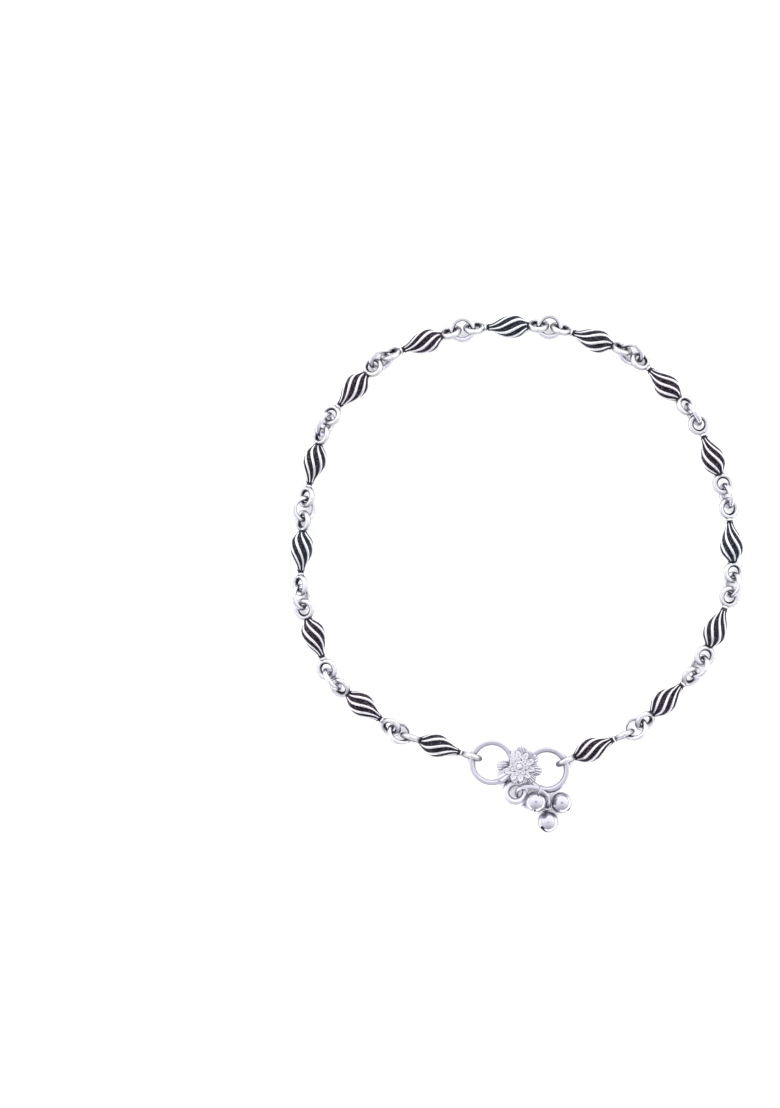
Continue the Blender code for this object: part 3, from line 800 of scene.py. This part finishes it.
def cutter(name, rows):
    """A closed tool shape, whose cut faces get painted shade."""
    points, faces = skin(rows)
    # Painted shade: the value 0 makes the faces this tool cuts dark.
    return mesh_from(name, [(points, faces, [0.0] * len(points), LEVEL)])


def cut(mesh, tools):
    """The mesh with the tools' shapes cut out of it."""
    scratch = [bpy.data.objects.new(part.name, part) for part in (mesh, *tools)]
    for piece in scratch:
        bpy.context.scene.collection.objects.link(piece)
    for tool in scratch[1:]:
        step = scratch[0].modifiers.new("cut", "BOOLEAN")
        step.operation, step.object, step.solver = "DIFFERENCE", tool, "EXACT"
    bpy.context.view_layer.update()
    result = bpy.data.meshes.new_from_object(scratch[0].evaluated_get(bpy.context.evaluated_depsgraph_get()))
    for piece in scratch:
        bpy.data.objects.remove(piece)
    return result


blade = ((-SAW_REACH, -SLIT_WIDTH / 2), (SAW_REACH, -SLIT_WIDTH / 2),
         (SAW_REACH, SLIT_WIDTH / 2), (-SAW_REACH, SLIT_WIDTH / 2))
saw = [[(x, y, z) for y, z in blade] for x in (-SAW_REACH, SLIT_DEPTH - BALL_RADIUS)]
tools = [cutter("saw", saw)]
slit_half = math.sqrt(BALL_RADIUS ** 2 - (BALL_RADIUS - SLIT_DEPTH) ** 2)
for side in (-1, 1):
    out = Vector((SLIT_DEPTH - BALL_RADIUS, side * slit_half, 0))
    turn = out.to_track_quat("Z", "Y").to_matrix().to_4x4()
    drill = [[turn @ Vector((math.cos(a) * HOLE_RADIUS, math.sin(a) * HOLE_RADIUS, level * BALL_RADIUS))
              for a in around(24)] for level in (0.5, 1.2)]
    tools.append(cutter("drill", drill))
bell_eye = wire_ring(BELL_EYE_RADIUS, BELL_EYE_WIRE, 40, 14)
whole_ball = mesh_from("ball", [(*ball(), LEVEL)])
cut_ball = cut(whole_ball, tools)
cut_ball.set_sharp_from_angle(angle=math.radians(40))
build = bmesh.new()
build.from_mesh(cut_ball)
build.from_mesh(mesh_from("bell_eye", [(*bell_eye, Matrix.Translation((BELL_EYE_AT, 0, 0)))]))
bell_mesh = bpy.data.meshes.new("bell")
build.to_mesh(bell_mesh)
build.free()
for number in (1, 2, 3):
    node = f"bell_{number:02d}"
    show(f"ghungroo_{number:02d}", bell_mesh.copy(), BELL_SILVER, bell_lie(node),
         "polished_silver", node, painted_flank_shade=0.75)
print("bell faces:", len(bell_mesh.polygons))

# %% [markdown]
# ## The surface, the light and the camera
#
# Silver shows what is round it, so the light matters as much as the metal. The anklet lies on
# white paper in a white tent. The tent's small dark opening straight above draws a soft grey line
# along the top of each wire, and its grey foot, low all round, darkens the flanks.

# %% Pale surface
def paper(name, colour):
    """Matt white paper with a faint tooth."""
    material = bpy.data.materials.new(name)
    material.use_nodes = True
    tree = material.node_tree
    shader = tree.nodes["Principled BSDF"]
    place = add_node(tree, "ShaderNodeTexCoord").outputs["Object"]
    tooth = add_node(tree, "ShaderNodeTexNoise", values={"Scale": 1 / (0.4 * MM)}, links={"Vector": place})
    bump = add_node(tree, "ShaderNodeBump", values={"Strength": 0.1, "Distance": 0.02 * MM},
                    links={"Height": tooth.outputs["Fac"]})
    shader.inputs["Base Color"].default_value = linear(colour)
    shader.inputs["Roughness"].default_value = 0.9
    tree.links.new(bump.outputs["Normal"], shader.inputs["Normal"])
    return material


SURFACE_HALF = 1.5
surface = bpy.data.meshes.new("surface")
surface.from_pydata([(-SURFACE_HALF, -SURFACE_HALF, 0), (SURFACE_HALF, -SURFACE_HALF, 0),
                     (SURFACE_HALF, SURFACE_HALF, 0), (-SURFACE_HALF, SURFACE_HALF, 0)], [], [(0, 1, 2, 3)])
surface.materials.append(paper("white_paper", "F4F4F5"))
floor = bpy.data.objects.new("surface", surface)
floor.location.z = -0.02 * MM
bpy.context.scene.collection.objects.link(floor)
print("surface across, in m:", 2 * SURFACE_HALF)

# %% A soft tent of light
TENT_STRENGTH = 1.45
KEY_AT, KEY_SIZE, KEY_POWER = (-0.1, 0.3, 1.0), 1.8, 40.0
scene = bpy.context.scene
scene.view_settings.view_transform = "Standard"
world = bpy.data.worlds.new("tent")
world.use_nodes = True
sky = world.node_tree
background = sky.nodes["Background"]
way = add_node(sky, "ShaderNodeTexCoord").outputs["Generated"]
split = add_node(sky, "ShaderNodeSeparateXYZ", links={0: way})


def bands(output, stops):
    """Colours along one value, from stops of place and colour."""
    node = add_node(sky, "ShaderNodeValToRGB", links={0: output})
    ramp = node.color_ramp
    while len(ramp.elements) < len(stops):
        ramp.elements.new(0.5)
    for element, (at, colour) in zip(ramp.elements, stops):
        element.position = at
        element.color = linear(colour)
    return node.outputs["Color"]


# From the tent's foot at 0 to straight above at 1.
upward = bands(split.outputs["Z"], [
    (0.0, "6A6A6E"), (0.08, "8C8C90"), (0.17, "E6E6E8"), (0.3, "FFFFFF"), (0.36, "E9E9EB"),
    (0.44, "FFFFFF"), (0.6, "FAFAFB"), (0.67, "DCDCDF"), (0.74, "F6F6F8"), (0.86, "ECECEF"),
    (0.93, "F4F4F6"), (0.98, "E4E4E8"), (0.99, "606066"), (1.0, "505056"),
])
north = add_node(sky, "ShaderNodeMapRange", values={"From Min": -1.0, "From Max": 1.0},
                 links={"Value": split.outputs["Y"]}).outputs[0]
# From the south side at 0 to the north side at 1.
sideways = bands(north, [(0.0, "9C9CA1"), (0.2, "C8C8CC"), (0.42, "ECECEE"), (0.7, "FFFFFF"),
                         (1.0, "FFFFFF")])
tent = add_node(sky, "ShaderNodeMix", {"data_type": "RGBA", "blend_type": "MULTIPLY"}, {0: 1.0},
                {FIRST_COLOUR: upward, SECOND_COLOUR: sideways}).outputs[MIXED_COLOUR]
sky.links.new(tent, background.inputs["Color"])
background.inputs["Strength"].default_value = TENT_STRENGTH
scene.world = world


def soft_light(name, at, size, power):
    """A square soft light that points at the anklet and lights the surface, unseen in the silver."""
    data = bpy.data.lights.new(name, "AREA")
    data.size, data.energy = size, power
    lamp = bpy.data.objects.new(name, data)
    lamp.location = at
    lamp.rotation_euler = (Vector((0, 0, 0)) - Vector(at)).to_track_quat("-Z", "Y").to_euler()
    lamp.visible_glossy = False
    scene.collection.objects.link(lamp)


soft_light("key", KEY_AT, KEY_SIZE, KEY_POWER)
print("key light in W:", KEY_POWER, "tent strength:", TENT_STRENGTH)

# %% Camera straight above
IMAGE_MIDDLE = (-24.7 * MM, 3.7 * MM)
IMAGE_HEIGHT = 215.5 * MM
CAMERA_HEIGHT = 1.2
camera_data = bpy.data.cameras.new("camera")
camera_data.sensor_fit = "AUTO"
camera_data.sensor_width = 36
camera_data.lens = camera_data.sensor_width * CAMERA_HEIGHT / IMAGE_HEIGHT
camera = bpy.data.objects.new("camera", camera_data)
camera.location = (*IMAGE_MIDDLE, CAMERA_HEIGHT)
scene.collection.objects.link(camera)
scene.camera = camera
print("lens, in mm:", round(camera_data.lens, 1))
